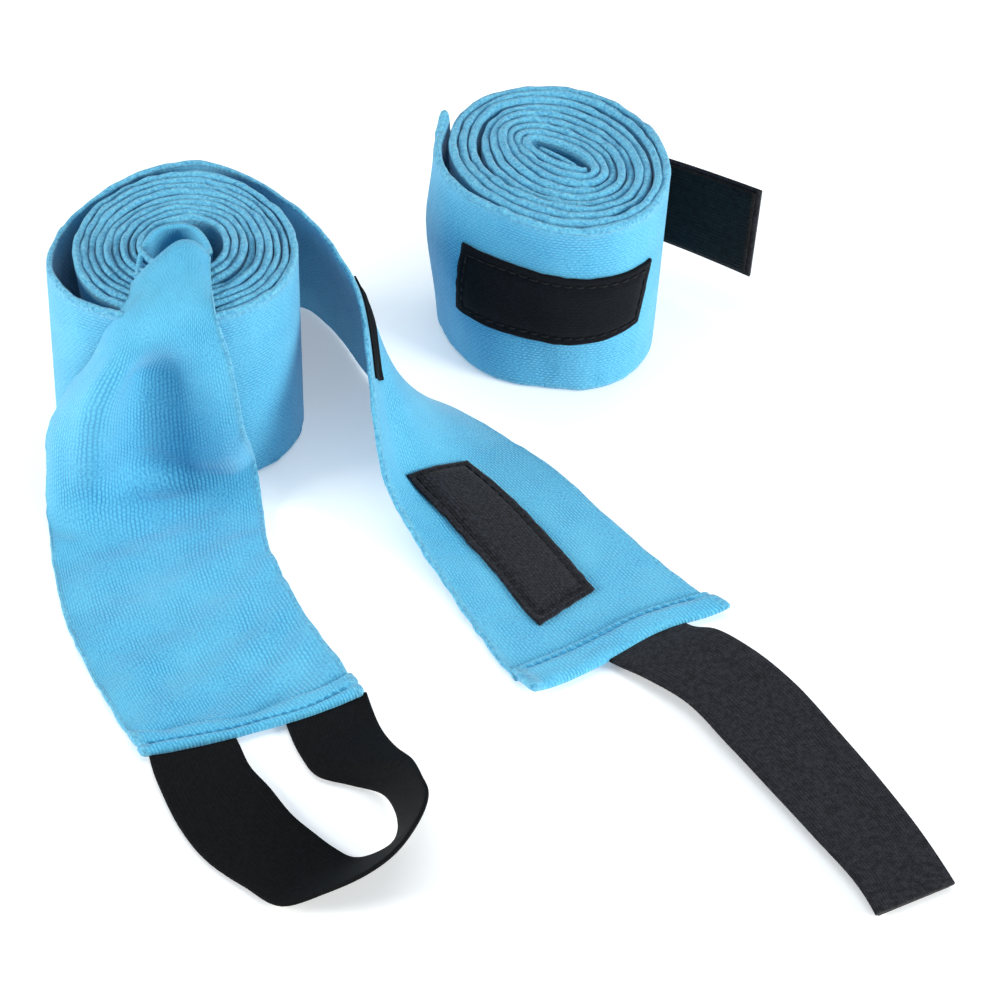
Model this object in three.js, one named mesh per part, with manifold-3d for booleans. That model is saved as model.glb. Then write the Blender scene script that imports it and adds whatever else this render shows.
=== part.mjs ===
// A pair of elastic hand wraps: one partly unrolled, one still rolled up.
// Units are millimetres and +Z is up. Both wraps stand on end on the same level surface.
// Every soft layer is a thin closed solid that is laid over a surface of two parameters:
// u runs along the band or tape and v runs across it.
import * as THREE from "three";
import Module from "manifold-3d";

const wasm = await Module();
wasm.setup();

// Fabric and tape sizes.
const BAND_THICKNESS = 1.1;
const TAPE_THICKNESS = 0.9;
const HEM_THICKNESS = 2.4;
const THREAD_THICKNESS = 0.5;
const GAP = 0.3;

// Open wrap: the wound part stands on end, a little narrower at its base than at its rim.
const OPEN_ROLL = {
  rimCentre: [-68, 26.5],
  baseCentre: [-66, 29.5],
  rimRadius: 23.4,
  baseRadius: 21.4,
  height: 48.4,
};

// Open wrap: the outermost turn stands loose around the roll, leans over as it leaves the roll
// and twists until it lies flat. Each row is [upper edge, lower edge] across the band.
const OUTER_TAIL = [
  [[-90.5, 7.5, 50], [-90.5, 7.5, 0.9]],
  [[-95.8, 17, 50], [-96.3, 17, 0.9]],
  [[-94.5, 31, 50], [-95.5, 32, 0.9]],
  [[-87.5, 43, 50], [-88.5, 45, 0.9]],
  [[-76, 53, 50], [-77, 56.5, 0.9]],
  [[-63.5, 55.5, 49.5], [-64, 64, 0.9]],
  [[-52.5, 49.5, 48.5], [-53, 68, 0.9]],
  [[-44.8, 42.5, 47.5], [-44.5, 67.5, 0.9]],
  [[-39, 37, 45], [-38.4, 60, 0.9]],
  [[-34.5, 30, 42.5], [-33.5, 51, 0.9]],
  [[-31, 23, 40], [-29.5, 42.5, 1]],
  [[-29, 14, 36], [-25.5, 36.5, 1.2]],
  [[-27.5, 4, 28], [-18.5, 33.5, 1.5]],
  [[-26, -4, 19], [-10, 29, 1.5]],
  [[-24, -9.5, 12], [0, 20, 1.5]],
  [[-19, -18.5, 7], [11, 8.5, 1.5]],
  [[-11, -32, 3], [24, -9.5, 1.5]],
  [[-3.5, -46.5, 1.5], [35.5, -25, 1.5]],
  [[5, -59, 1.3], [46.5, -36.8, 1.3]],
];

// Open wrap: the inner end rises out of the core, folds over the rim and drapes down to the ground.
// Each row is [left edge, ridge, valley, right edge] across the band.
const INNER_TAIL = [
  [[-77, 19.5, 50.4], [-74, 30.5, 50.4], [-66.5, 31.5, 50.4], [-61.5, 21.5, 50.4]],
  [[-77, 5, 53], [-73, 10.5, 56], [-66.5, 15.5, 58], [-61.5, 11, 55]],
  [[-78.5, 4.5, 50.5], [-73.5, 5.5, 53.5], [-66.5, 8.5, 55], [-61.5, 8, 52]],
  [[-82, 2.5, 46.5], [-76.5, -0.5, 50.5], [-67, -0.5, 51.5], [-60.5, 2.5, 49.5]],
  [[-86, 2, 38], [-80, -5.5, 42], [-68, 0, 39], [-56, 4.5, 36]],
  [[-92, 3.5, 28], [-84.5, -8, 33], [-68, 2.5, 26], [-53.5, 5.5, 26]],
  [[-97, 2, 17], [-86.5, -8, 22], [-68, 5, 12], [-53, 7, 15]],
  [[-97.5, -1, 9], [-87.5, -8.5, 10], [-67.5, 3.5, 4], [-53, 6, 5]],
  [[-97.5, -6, 3.5], [-87, -13, 4], [-67, -6.5, 1.6], [-52, -3.5, 1.6]],
  [[-95.5, -19, 1.6], [-83, -24, 2.2], [-65, -23, 2.2], [-50, -16.5, 1.6]],
  [[-92, -36, 1.3], [-78.5, -39, 2], [-61, -37, 2], [-46, -27.5, 1.3]],
  [[-85, -55.5, 1.3], [-72.5, -56, 1.7], [-55.5, -52, 1.7], [-40, -41, 1.3]],
  [[-77.5, -71, 1.3], [-65.5, -70, 1.4], [-49, -65.5, 1.4], [-33.5, -53.5, 1.3]],
  [[-71.5, -81.5, 1.3], [-60, -78.4, 1.3], [-43, -71.9, 1.3], [-28.5, -64, 1.3]],
];

// Thumb loop: one length of elastic. The left leg lies flat, the far bend stands on edge.
// Each row is [outer edge, inner edge].
const THUMB_LOOP = [
  [[-69.9, -84.2, 1.3], [-53.3, -77.9, 1.3]],
  [[-67.5, -91.5, 1.2], [-51, -84, 1.2]],
  [[-63, -102, 1], [-46.5, -90.5, 1]],
  [[-57, -111, 1], [-41.5, -98.5, 1]],
  [[-50, -117.5, 1.3], [-37, -103.5, 1]],
  [[-42, -124, 2.5], [-33, -107.5, 1]],
  [[-34, -124, 6], [-29.5, -110, 1]],
  [[-25.5, -123.5, 11], [-25.5, -109.5, 1]],
  [[-20, -120.5, 14], [-21.5, -106.5, 1]],
  [[-16, -114.5, 16], [-20, -102.5, 1]],
  [[-14.3, -107, 16], [-20.7, -96.5, 1]],
  [[-15.7, -100, 14], [-23.5, -91.5, 1]],
  [[-17.6, -92.5, 11], [-30, -89, 1]],
  [[-21, -85, 7], [-36, -87, 1]],
  [[-24.4, -75.5, 3], [-40, -81, 1.2]],
  [[-26.7, -66.8, 1.3], [-42.7, -73.6, 1.3]],
];

// Hook strap of the open wrap. Each row is [lower edge, upper edge].
const HOOK_STRAP = [
  [[21.6, -51.6, 2.2], [39.2, -42.3, 2.2]],
  [[30, -59, 2.8], [45, -45.5, 3.2]],
  [[38, -66.5, 3.2], [52, -52, 3.6]],
  [[46.3, -79, 2.8], [60.4, -62, 3]],
  [[54.5, -92, 2.4], [68.6, -75.7, 2.4]],
  [[62.4, -105, 2.3], [76.3, -90, 2.3]],
  [[70.2, -118.5, 2.3], [84, -106.3, 2.3]],
  [[73.5, -124.5, 2.3], [88.3, -117, 2.3]],
];

// Rolled wrap: an oval roll, its long axis turned away from +X, a little narrower at its base.
const ROLLED = {
  centre: [13, 61.5],
  longRadius: 26.4,
  shortRadius: 21,
  longAxis: THREE.MathUtils.degToRad(-52),
  baseScale: 0.91,
  baseShift: -0.8,
  height: 47,
};
const CORE_SLOT = { length: 17, width: 6, floor: 3, turn: THREE.MathUtils.degToRad(-40) };

// Places on the rolled wrap, as compass angles in degrees (from +X, anticlockwise) and heights.
const ROLLED_HEM = { from: 186, to: 172, low: 0.6, high: 46.6 };
const ROLLED_PATCH = { from: 203, to: 320, low: 13.5, high: 31.5 };
const ROLLED_LABEL = { from: 100, to: 160, low: 33.4, high: 44.2 };
const ROLLED_STRAP = { from: 170.5, to: 72, low: 12.5, high: 32.5 };
const STRAP_END_LENGTH = 42;
const STRAP_END_DIRECTION = THREE.MathUtils.degToRad(-28.5);

// Places on the open wrap, as shares of its length (u) and width (v).
const LABEL_PLACE = { u: [0.545, 0.685], v: [0.08, 0.3] };
const PATCH_PLACE = { u: [0.78, 0.95], v: [0.24, 0.61] };
const CLOSURE_END_START = 0.958;
const CLOSURE_HEM_START = 0.972;
const THUMB_END_START = 0.66;
const THUMB_HEM_START = 0.955;
const LOOSE_TURN_END = 0.4;
const SPLIT = 0.0012;

const COLOURS = {
  band: new THREE.MeshStandardMaterial({ color: 0x6cc4ec, roughness: 0.85, metalness: 0 }),
  elastic: new THREE.MeshStandardMaterial({ color: 0x18181b, roughness: 0.75, metalness: 0 }),
  webbing: new THREE.MeshStandardMaterial({ color: 0x24242a, roughness: 0.7, metalness: 0 }),
  hooks: new THREE.MeshStandardMaterial({ color: 0x121318, roughness: 0.5, metalness: 0 }),
  loops: new THREE.MeshStandardMaterial({ color: 0x2c2d33, roughness: 0.95, metalness: 0 }),
  label: new THREE.MeshStandardMaterial({ color: 0x101116, roughness: 0.8, metalness: 0 }),
  thread: new THREE.MeshStandardMaterial({ color: 0x1b1c20, roughness: 0.6, metalness: 0 }),
  blueThread: new THREE.MeshStandardMaterial({ color: 0x9ad8f4, roughness: 0.6, metalness: 0 }),
};

const pair = new THREE.Group();

// A named mesh in one of the colours above.
function addPiece(name, geometry, material) {
  const mesh = new THREE.Mesh(geometry, material);
  mesh.name = name;
  pair.add(mesh);
}

// The smooth surface through rows of points: curves run along the rows' columns, then across.
function netSurface(rows) {
  const columns = rows[0].map(
    (_, column) => new THREE.CatmullRomCurve3(rows.map((row) => new THREE.Vector3(...row[column])))
  );
  return (u, v) => {
    const across = columns.map((column) => column.getPoint(u));
    if (across.length === 2) return across[0].lerp(across[1], v);
    return new THREE.CatmullRomCurve3(across).getPoint(v);
  };
}

// The unit normal of a surface, from small steps in u and v.
function normalAt(surface, u, v) {
  const step = 1e-3;
  const clampStep = (value) => Math.min(Math.max(value, 0), 1);
  const alongU = surface(clampStep(u + step), v).sub(surface(clampStep(u - step), v));
  const alongV = surface(u, clampStep(v + step)).sub(surface(u, clampStep(v - step)));
  return alongU.cross(alongV).normalize();
}

// Points on the surface at [u, v], lifted by a height along the normal.
function lifted(surface, [u, v], height) {
  return surface(u, v).addScaledVector(normalAt(surface, u, v), height);
}

// A geometry from points and the corner numbers of its triangles.
function geometryFrom(points, faces) {
  const geometry = new THREE.BufferGeometry();
  geometry.setAttribute(
    "position",
    new THREE.Float32BufferAttribute(points.flatMap((point) => point.toArray()), 3)
  );
  geometry.setIndex(faces);
  geometry.computeVertexNormals();
  return geometry;
}

const quad = (a, b, c, d) => [a, b, c, a, c, d];

// A layer of cloth on a surface, between two heights along its normal.
function layer(surface, { u = [0, 1], v = [0, 1], from, to, steps = [40, 6] }) {
  const [along, across] = steps;
  const points = [];
  for (const height of [from, to])
    for (let i = 0; i <= along; i++)
      for (let j = 0; j <= across; j++) {
        const place = [u[0] + ((u[1] - u[0]) * i) / along, v[0] + ((v[1] - v[0]) * j) / across];
        points.push(lifted(surface, place, height));
      }
  const sheet = (along + 1) * (across + 1);
  const at = (side, i, j) => side * sheet + i * (across + 1) + j;
  const faces = [];
  for (let i = 0; i < along; i++)
    for (let j = 0; j < across; j++) {
      faces.push(...quad(at(1, i, j), at(1, i + 1, j), at(1, i + 1, j + 1), at(1, i, j + 1)));
      faces.push(...quad(at(0, i, j), at(0, i, j + 1), at(0, i + 1, j + 1), at(0, i + 1, j)));
    }
  for (let i = 0; i < along; i++) {
    faces.push(...quad(at(0, i, 0), at(0, i + 1, 0), at(1, i + 1, 0), at(1, i, 0)));
    faces.push(...quad(at(0, i + 1, across), at(0, i, across), at(1, i, across), at(1, i + 1, across)));
  }
  for (let j = 0; j < across; j++) {
    faces.push(...quad(at(0, 0, j + 1), at(0, 0, j), at(1, 0, j), at(1, 0, j + 1)));
    faces.push(...quad(at(0, along, j), at(0, along, j + 1), at(1, along, j + 1), at(1, along, j)));
  }
  return geometryFrom(points, faces);
}

// A closed line of thread around a rectangle on a surface. Margin and width are shares of u and v.
function threadFrame(surface, { u, v, margin, width, from, to, steps = 24 }) {
  const loopAt = (inset, height) => {
    const corner = (i, j) => [
      i ? u[1] - margin[0] - inset[0] : u[0] + margin[0] + inset[0],
      j ? v[1] - margin[1] - inset[1] : v[0] + margin[1] + inset[1],
    ];
    const corners = [corner(0, 0), corner(1, 0), corner(1, 1), corner(0, 1)];
    const loop = [];
    corners.forEach((start, k) => {
      const end = corners[(k + 1) % 4];
      for (let i = 0; i < steps; i++) {
        const t = i / steps;
        const place = [start[0] + (end[0] - start[0]) * t, start[1] + (end[1] - start[1]) * t];
        loop.push(lifted(surface, place, height));
      }
    });
    return loop;
  };
  const none = [0, 0];
  const rings = [loopAt(none, from), loopAt(none, to), loopAt(width, to), loopAt(width, from)];
  const count = rings[0].length;
  const faces = [];
  for (let ring = 0; ring < 4; ring++)
    for (let i = 0; i < count; i++) {
      const next = (i + 1) % count;
      const a = ring * count;
      const b = ((ring + 1) % 4) * count;
      faces.push(...quad(a + i, a + next, b + next, b + i));
    }
  return geometryFrom(rings.flat(), faces);
}

// ---- Open wrap ----

// The wound part: a leaning, slightly tapered round block.
function openRoll() {
  const { rimCentre, baseCentre, rimRadius, baseRadius, height } = OPEN_ROLL;
  const geometry = new THREE.CylinderGeometry(rimRadius, baseRadius, height, 48);
  geometry.rotateX(Math.PI / 2);
  geometry.translate(0, 0, height / 2);
  const position = geometry.attributes.position;
  for (let i = 0; i < position.count; i++) {
    const share = position.getZ(i) / height;
    position.setX(i, position.getX(i) + THREE.MathUtils.lerp(baseCentre[0], rimCentre[0], share));
    position.setY(i, position.getY(i) + THREE.MathUtils.lerp(baseCentre[1], rimCentre[1], share));
  }
  return geometry;
}

const outerTail = netSurface(OUTER_TAIL);
const innerTail = netSurface(INNER_TAIL);
const thumbLoop = netSurface(THUMB_LOOP);
const hookStrap = netSurface(HOOK_STRAP);

const bandLayer = { from: -BAND_THICKNESS / 2, to: BAND_THICKNESS / 2 };
const onBand = (thickness) => ({
  from: BAND_THICKNESS / 2 + GAP,
  to: BAND_THICKNESS / 2 + GAP + thickness,
});
const hemTop = HEM_THICKNESS - BAND_THICKNESS / 2;
const hemLayer = { from: -BAND_THICKNESS / 2, to: hemTop };
const onHem = { from: hemTop + GAP, to: hemTop + GAP + THREAD_THICKNESS };

addPiece("open_roll", openRoll(), COLOURS.band);

addPiece(
  "open_loose_turn",
  layer(outerTail, { u: [0, LOOSE_TURN_END], ...bandLayer, steps: [40, 2] }),
  COLOURS.band
);
addPiece(
  "open_outer_tail",
  layer(outerTail, {
    u: [LOOSE_TURN_END + SPLIT, CLOSURE_END_START - SPLIT],
    ...bandLayer,
    steps: [70, 6],
  }),
  COLOURS.band
);
addPiece(
  "open_closure_end",
  layer(outerTail, {
    u: [CLOSURE_END_START, CLOSURE_HEM_START - SPLIT],
    ...bandLayer,
    steps: [3, 6],
  }),
  COLOURS.band
);
addPiece(
  "open_closure_hem",
  layer(outerTail, { u: [CLOSURE_HEM_START, 1], ...hemLayer, steps: [4, 6] }),
  COLOURS.band
);
addPiece(
  "open_closure_stitching",
  layer(outerTail, { u: [0.977, 0.979], v: [0.05, 0.95], ...onHem, steps: [1, 8] }),
  COLOURS.blueThread
);
addPiece(
  "open_loop_patch",
  layer(outerTail, { ...PATCH_PLACE, ...onBand(TAPE_THICKNESS), steps: [20, 4] }),
  COLOURS.loops
);
addPiece(
  "open_patch_stitching",
  threadFrame(outerTail, {
    ...PATCH_PLACE,
    margin: [0.006, 0.03],
    width: [0.002, 0.012],
    from: BAND_THICKNESS / 2 + TAPE_THICKNESS + 2 * GAP,
    to: BAND_THICKNESS / 2 + TAPE_THICKNESS + 2 * GAP + THREAD_THICKNESS,
  }),
  COLOURS.thread
);
addPiece(
  "open_label",
  layer(outerTail, { ...LABEL_PLACE, ...onBand(THREAD_THICKNESS), steps: [16, 3] }),
  COLOURS.label
);
addPiece(
  "open_inner_tail",
  layer(innerTail, { u: [0, THUMB_END_START - SPLIT], ...bandLayer, steps: [40, 12] }),
  COLOURS.band
);
addPiece(
  "open_thumb_end",
  layer(innerTail, { u: [THUMB_END_START, THUMB_HEM_START - SPLIT], ...bandLayer, steps: [16, 9] }),
  COLOURS.band
);
addPiece(
  "open_thumb_hem",
  layer(innerTail, { u: [THUMB_HEM_START, 1], ...hemLayer, steps: [3, 9] }),
  COLOURS.band
);
addPiece(
  "open_thumb_stitching",
  layer(innerTail, { u: [0.966, 0.969], v: [0.05, 0.95], ...onHem, steps: [1, 9] }),
  COLOURS.blueThread
);
addPiece(
  "open_thumb_loop",
  layer(thumbLoop, { from: -TAPE_THICKNESS / 2, to: TAPE_THICKNESS / 2, steps: [60, 4] }),
  COLOURS.elastic
);
addPiece(
  "open_hook_strap",
  layer(hookStrap, { from: -TAPE_THICKNESS / 2, to: TAPE_THICKNESS / 2, steps: [32, 4] }),
  COLOURS.webbing
);
addPiece(
  "open_hook_field",
  layer(hookStrap, {
    u: [0.16, 0.995],
    v: [0.04, 0.96],
    from: -TAPE_THICKNESS / 2 - GAP - 0.8,
    to: -TAPE_THICKNESS / 2 - GAP,
    steps: [28, 4],
  }),
  COLOURS.hooks
);

// ---- Rolled wrap ----

// A point of the roll's wall at a compass angle (degrees) and a height, pushed out by an offset.
function rolledPoint(degrees, height, offset = 0) {
  const { centre, longRadius: a, shortRadius: b, longAxis, baseScale, baseShift } = ROLLED;
  const share = height / ROLLED.height;
  const angle = THREE.MathUtils.degToRad(degrees);
  const turn = angle - longAxis;
  const radius = (a * b) / Math.hypot(b * Math.cos(turn), a * Math.sin(turn));
  const reach = radius * THREE.MathUtils.lerp(baseScale, 1, share) + offset;
  return new THREE.Vector3(
    centre[0] + baseShift * (1 - share) + reach * Math.cos(angle),
    centre[1] + reach * Math.sin(angle),
    height
  );
}

// The roll's wall between two angles and two heights, as a surface that faces outwards.
function rolledWall({ from, to, low, high }, offset = 0) {
  const clockwise = to < from;
  return (u, v) => {
    const share = clockwise ? 1 - v : v;
    return rolledPoint(from + (to - from) * u, low + (high - low) * share, offset);
  };
}

// The oval block with an upright slot at its core, which is open at the top.
function rolledRoll() {
  const sides = 56;
  const outline = [0, ROLLED.height].map((height) =>
    Array.from({ length: sides }, (_, i) => rolledPoint((360 * i) / sides, height))
  );
  const points = outline.flat();
  const low = points.push(new THREE.Vector3(...ROLLED.centre, 0)) - 1;
  const high = points.push(new THREE.Vector3(...ROLLED.centre, ROLLED.height)) - 1;
  const faces = [];
  for (let i = 0; i < sides; i++) {
    const next = (i + 1) % sides;
    faces.push(...quad(i, next, sides + next, sides + i));
    faces.push(low, next, i, high, sides + i, sides + next);
  }
  const slot = new THREE.BoxGeometry(CORE_SLOT.length, CORE_SLOT.width, ROLLED.height);
  slot.rotateZ(CORE_SLOT.turn);
  slot.translate(...ROLLED.centre, ROLLED.height / 2 + CORE_SLOT.floor);
  return subtract(geometryFrom(points, faces), slot);
}

// Solid a with solid b cut away.
function subtract(a, b) {
  const mesh = solidOf(a).subtract(solidOf(b)).getMesh();
  const geometry = new THREE.BufferGeometry();
  geometry.setAttribute("position", new THREE.BufferAttribute(mesh.vertProperties, mesh.numProp));
  geometry.setIndex(new THREE.BufferAttribute(mesh.triVerts, 1));
  geometry.computeVertexNormals();
  return geometry;
}

// A closed geometry as a manifold solid, with its equal corners joined.
function solidOf(geometry) {
  const corners = new Map();
  const vertProperties = [];
  const { position } = geometry.attributes;
  const triVerts = Array.from(geometry.index.array, (index) => {
    const corner = [position.getX(index), position.getY(index), position.getZ(index)];
    const key = corner.map((value) => value.toFixed(4)).join();
    if (!corners.has(key)) corners.set(key, corners.size) && vertProperties.push(...corner);
    return corners.get(key);
  });
  return new wasm.Manifold(
    new wasm.Mesh({
      numProp: 3,
      vertProperties: new Float32Array(vertProperties),
      triVerts: new Uint32Array(triVerts),
    })
  );
}

// A thin upright block in the core, beside the slot's middle line.
function coreBlock(length, thickness, height, sideways, bottom) {
  const geometry = new THREE.BoxGeometry(length, thickness, height);
  geometry.translate(0, sideways, 0);
  geometry.rotateZ(CORE_SLOT.turn);
  geometry.translate(...ROLLED.centre, bottom + height / 2);
  return geometry;
}

// The free end of the rolled wrap's strap leaves the roll along a tangent.
function strapEnd(offset) {
  const { to, low, high } = ROLLED_STRAP;
  const start = rolledPoint(to, high, offset);
  const direction = new THREE.Vector3(
    Math.cos(STRAP_END_DIRECTION),
    Math.sin(STRAP_END_DIRECTION),
    0
  );
  return (u, v) =>
    start
      .clone()
      .addScaledVector(direction, GAP + STRAP_END_LENGTH * u)
      .setZ(THREE.MathUtils.lerp(high, low, v));
}

const HEM_OFFSET = GAP;
const STRAP_OFFSET = GAP;
const FREE_OFFSET = STRAP_OFFSET + TAPE_THICKNESS / 2;
const HOOK_THICKNESS = 0.8;

addPiece("rolled_roll", rolledRoll(), COLOURS.band);
addPiece(
  "rolled_closure_hem",
  layer(rolledWall(ROLLED_HEM), { from: HEM_OFFSET, to: HEM_OFFSET + HEM_THICKNESS, steps: [6, 6] }),
  COLOURS.band
);
addPiece(
  "rolled_closure_stitching",
  layer(rolledWall({ ...ROLLED_HEM, from: 177, to: 176, low: 3, high: 44 }), {
    from: HEM_OFFSET + HEM_THICKNESS + GAP,
    to: HEM_OFFSET + HEM_THICKNESS + GAP + THREAD_THICKNESS,
    steps: [1, 6],
  }),
  COLOURS.blueThread
);
addPiece(
  "rolled_loop_patch",
  layer(rolledWall(ROLLED_PATCH), { from: GAP, to: GAP + TAPE_THICKNESS, steps: [28, 3] }),
  COLOURS.loops
);
addPiece(
  "rolled_patch_stitching",
  threadFrame(rolledWall(ROLLED_PATCH), {
    u: [0, 1],
    v: [0, 1],
    margin: [0.03, 0.08],
    width: [0.01, 0.03],
    from: 2 * GAP + TAPE_THICKNESS,
    to: 2 * GAP + TAPE_THICKNESS + THREAD_THICKNESS,
  }),
  COLOURS.thread
);
addPiece(
  "rolled_label",
  layer(rolledWall(ROLLED_LABEL), { from: GAP, to: GAP + THREAD_THICKNESS, steps: [14, 3] }),
  COLOURS.label
);
addPiece(
  "rolled_strap_wrapped",
  layer(rolledWall(ROLLED_STRAP), {
    from: STRAP_OFFSET,
    to: STRAP_OFFSET + TAPE_THICKNESS,
    steps: [28, 3],
  }),
  COLOURS.webbing
);
addPiece(
  "rolled_strap_end",
  layer(strapEnd(FREE_OFFSET), { from: -TAPE_THICKNESS / 2, to: TAPE_THICKNESS / 2, steps: [10, 3] }),
  COLOURS.webbing
);
addPiece(
  "rolled_hook_field",
  layer(strapEnd(FREE_OFFSET), {
    u: [0.3, 0.99],
    v: [0.04, 0.96],
    from: -TAPE_THICKNESS / 2 - GAP - HOOK_THICKNESS,
    to: -TAPE_THICKNESS / 2 - GAP,
    steps: [10, 3],
  }),
  COLOURS.hooks
);
addPiece("rolled_thumb_hem", coreBlock(14, 2, 42, -1.6, 3.6), COLOURS.band);
addPiece("rolled_thumb_loop", coreBlock(14, 1.8, 20, 1.4, 12), COLOURS.elastic);
addPiece("rolled_thumb_stitching", coreBlock(0.5, 0.4, 38, -0.1, 5), COLOURS.blueThread);

// The origin is the middle of the pair's footprint, on the surface that both wraps stand on.
const box = new THREE.Box3().setFromObject(pair);
pair.position.set(-(box.min.x + box.max.x) / 2, -(box.min.y + box.max.y) / 2, 0);

export default pair;
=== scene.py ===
"""A pair of elastic hand wraps: the cloth, tapes, stitching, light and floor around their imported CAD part.

Shapes are worked out in millimetres in the pair's own ground plan, and are moved onto the CAD part as
their meshes are made.
"""

import math

import bpy
import numpy as np
from bpy.props import FloatProperty, FloatVectorProperty, PointerProperty
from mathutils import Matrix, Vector


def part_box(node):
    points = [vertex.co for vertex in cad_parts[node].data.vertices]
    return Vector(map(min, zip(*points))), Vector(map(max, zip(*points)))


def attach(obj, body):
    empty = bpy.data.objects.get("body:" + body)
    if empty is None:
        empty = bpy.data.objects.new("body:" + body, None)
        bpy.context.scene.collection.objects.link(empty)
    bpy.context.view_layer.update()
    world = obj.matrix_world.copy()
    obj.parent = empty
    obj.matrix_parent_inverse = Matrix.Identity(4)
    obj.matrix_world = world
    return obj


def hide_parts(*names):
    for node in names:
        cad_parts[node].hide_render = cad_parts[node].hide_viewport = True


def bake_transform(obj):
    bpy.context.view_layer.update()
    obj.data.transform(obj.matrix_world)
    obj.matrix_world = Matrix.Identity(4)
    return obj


bl_info = {
    "name": "Elastic Hand Wraps",
    "version": (1, 0, 0),
    "blender": (4, 5, 0),
    "location": "3D View > Sidebar > Hand Wraps",
    "description": "Makes the cloth, tapes, stitching and stage of a pair of elastic hand wraps",
    "category": "Add Mesh",
}

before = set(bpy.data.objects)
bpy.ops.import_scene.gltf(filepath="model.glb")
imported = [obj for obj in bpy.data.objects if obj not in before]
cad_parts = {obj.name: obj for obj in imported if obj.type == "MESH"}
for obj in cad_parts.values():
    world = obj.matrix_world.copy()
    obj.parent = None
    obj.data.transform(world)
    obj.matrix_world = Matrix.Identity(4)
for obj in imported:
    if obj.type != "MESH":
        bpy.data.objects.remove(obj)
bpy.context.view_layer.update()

MM = 0.001
UP = np.array([0.0, 0.0, 1.0])

# ---- Open wrap: the roll stands on end, a little narrower at its base, and leans back ----
OPEN_RIM_CENTRE = np.array([-68.0, 25.4])
OPEN_BASE_CENTRE = np.array([-66.0, 29.0])
OPEN_BASE_SCALE = 0.9
OPEN_STRETCH = np.array([0.945, 1.02])
OPEN_HEIGHT = 50.0
OPEN_CORE_RADIUS = 8.8
OPEN_LAST_RADIUS = 25.7
OPEN_TURNS = 9.0
OPEN_LEAVES_AT = math.radians(256)
CAD_ROLL_CORNER = np.array([-68.0 - 23.4, 26.5 - 23.4])

# The loose turn and the outer tail, as rows of [upper edge, lower edge].
OUTER_TAIL = np.array([
    [[-90.5, 7.5, 50], [-90.5, 7.5, 0.9]],
    [[-95.8, 17, 50], [-96.3, 17, 0.9]],
    [[-94.5, 31, 50], [-95.5, 32, 0.9]],
    [[-87.5, 43, 50], [-88.5, 45, 0.9]],
    [[-76, 53, 50], [-77, 56.5, 0.9]],
    [[-63.5, 55.5, 49.5], [-64, 64, 0.9]],
    [[-52.5, 49.5, 48.5], [-53, 68, 0.9]],
    [[-44.8, 42.5, 47.5], [-44.5, 67.5, 0.9]],
    [[-39, 37, 45], [-38.4, 60, 0.9]],
    [[-34.5, 30, 42.5], [-33.5, 51, 0.9]],
    [[-31, 23, 40], [-29.5, 42.5, 1]],
    [[-29, 14, 36], [-25.5, 36.5, 1.2]],
    [[-27.5, 4, 28], [-18.5, 33.5, 1.5]],
    [[-26, -4, 19], [-10, 29, 1.5]],
    [[-24, -9.5, 12], [0, 20, 1.5]],
    [[-19, -18.5, 7], [11, 8.5, 1.5]],
    [[-11, -32, 3], [24, -9.5, 1.5]],
    [[-3.5, -46.5, 1.5], [35.5, -25, 1.5]],
    [[7.8, -63.4, 1.3], [48.4, -38.4, 1.3]],
], float)
TAIL_AHEAD = np.array([0.616, -0.788, 0.0])

# The inner tail rises out of the core, folds over the rim and drapes down to the ground,
# as rows of [left edge, ridge, valley, right edge]. The first rows dip into the core as a trough.
INNER_TAIL = np.array([
    [[-77, 15, 50.5], [-74.5, 28.5, 51], [-67, 30.5, 51.5], [-61.8, 22, 51]],
    [[-76.5, 15, 45], [-74, 27.5, 42], [-67, 29, 42], [-62.5, 21.5, 44]],
    [[-76.5, 12, 43.5], [-73.5, 21, 37], [-67, 22.5, 37], [-62.5, 18.5, 43]],
    [[-77, 10.5, 48], [-73, 15.5, 48], [-67, 19, 49], [-62, 17.5, 49]],
    [[-77.3, 9.5, 51.5], [-73, 13, 55], [-67, 17.5, 57], [-62, 16.5, 53.5]],
    [[-78.5, 4.5, 50.5], [-73.5, 5.5, 53.5], [-66.5, 8.5, 55], [-61.4, 9.5, 51.5]],
    [[-82, 2.5, 46.5], [-76.5, -0.5, 50.5], [-67, -0.5, 51.5], [-59.9, 0.5, 50.8]],
    [[-86, 2, 38], [-80, -5.5, 42], [-68, -2.95, 39], [-57, -2.8, 41.5]],
    [[-92, 3.5, 28], [-84.5, -8, 33], [-68, -2.9, 26], [-55.4, -4.6, 32]],
    [[-97, 2, 17], [-86.5, -8, 22], [-68, -1.2, 12], [-54.4, -3.4, 21.5]],
    [[-97.5, -1, 9], [-87.5, -8.5, 10], [-67.5, 0, 4], [-53.3, 3.4, 7.8]],
    [[-97.5, -6, 3.5], [-87, -13, 4], [-67, -6.5, 1.6], [-52, -3.5, 1.6]],
    [[-95.5, -19, 1.6], [-83, -24, 2.2], [-65, -23, 2.2], [-50, -16.5, 1.6]],
    [[-92, -36, 1.3], [-78.5, -39, 2], [-61, -37, 2], [-46, -27.5, 1.3]],
    [[-85, -55.5, 1.3], [-72.5, -56, 1.7], [-55.5, -52, 1.7], [-40, -41, 1.3]],
    [[-77.5, -71, 1.3], [-65.5, -70, 1.4], [-49, -65.5, 1.4], [-33.5, -53.5, 1.3]],
    [[-71.5, -81.5, 1.3], [-60, -78.4, 1.3], [-43, -71.9, 1.3], [-28.5, -64, 1.3]],
], float)

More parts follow.
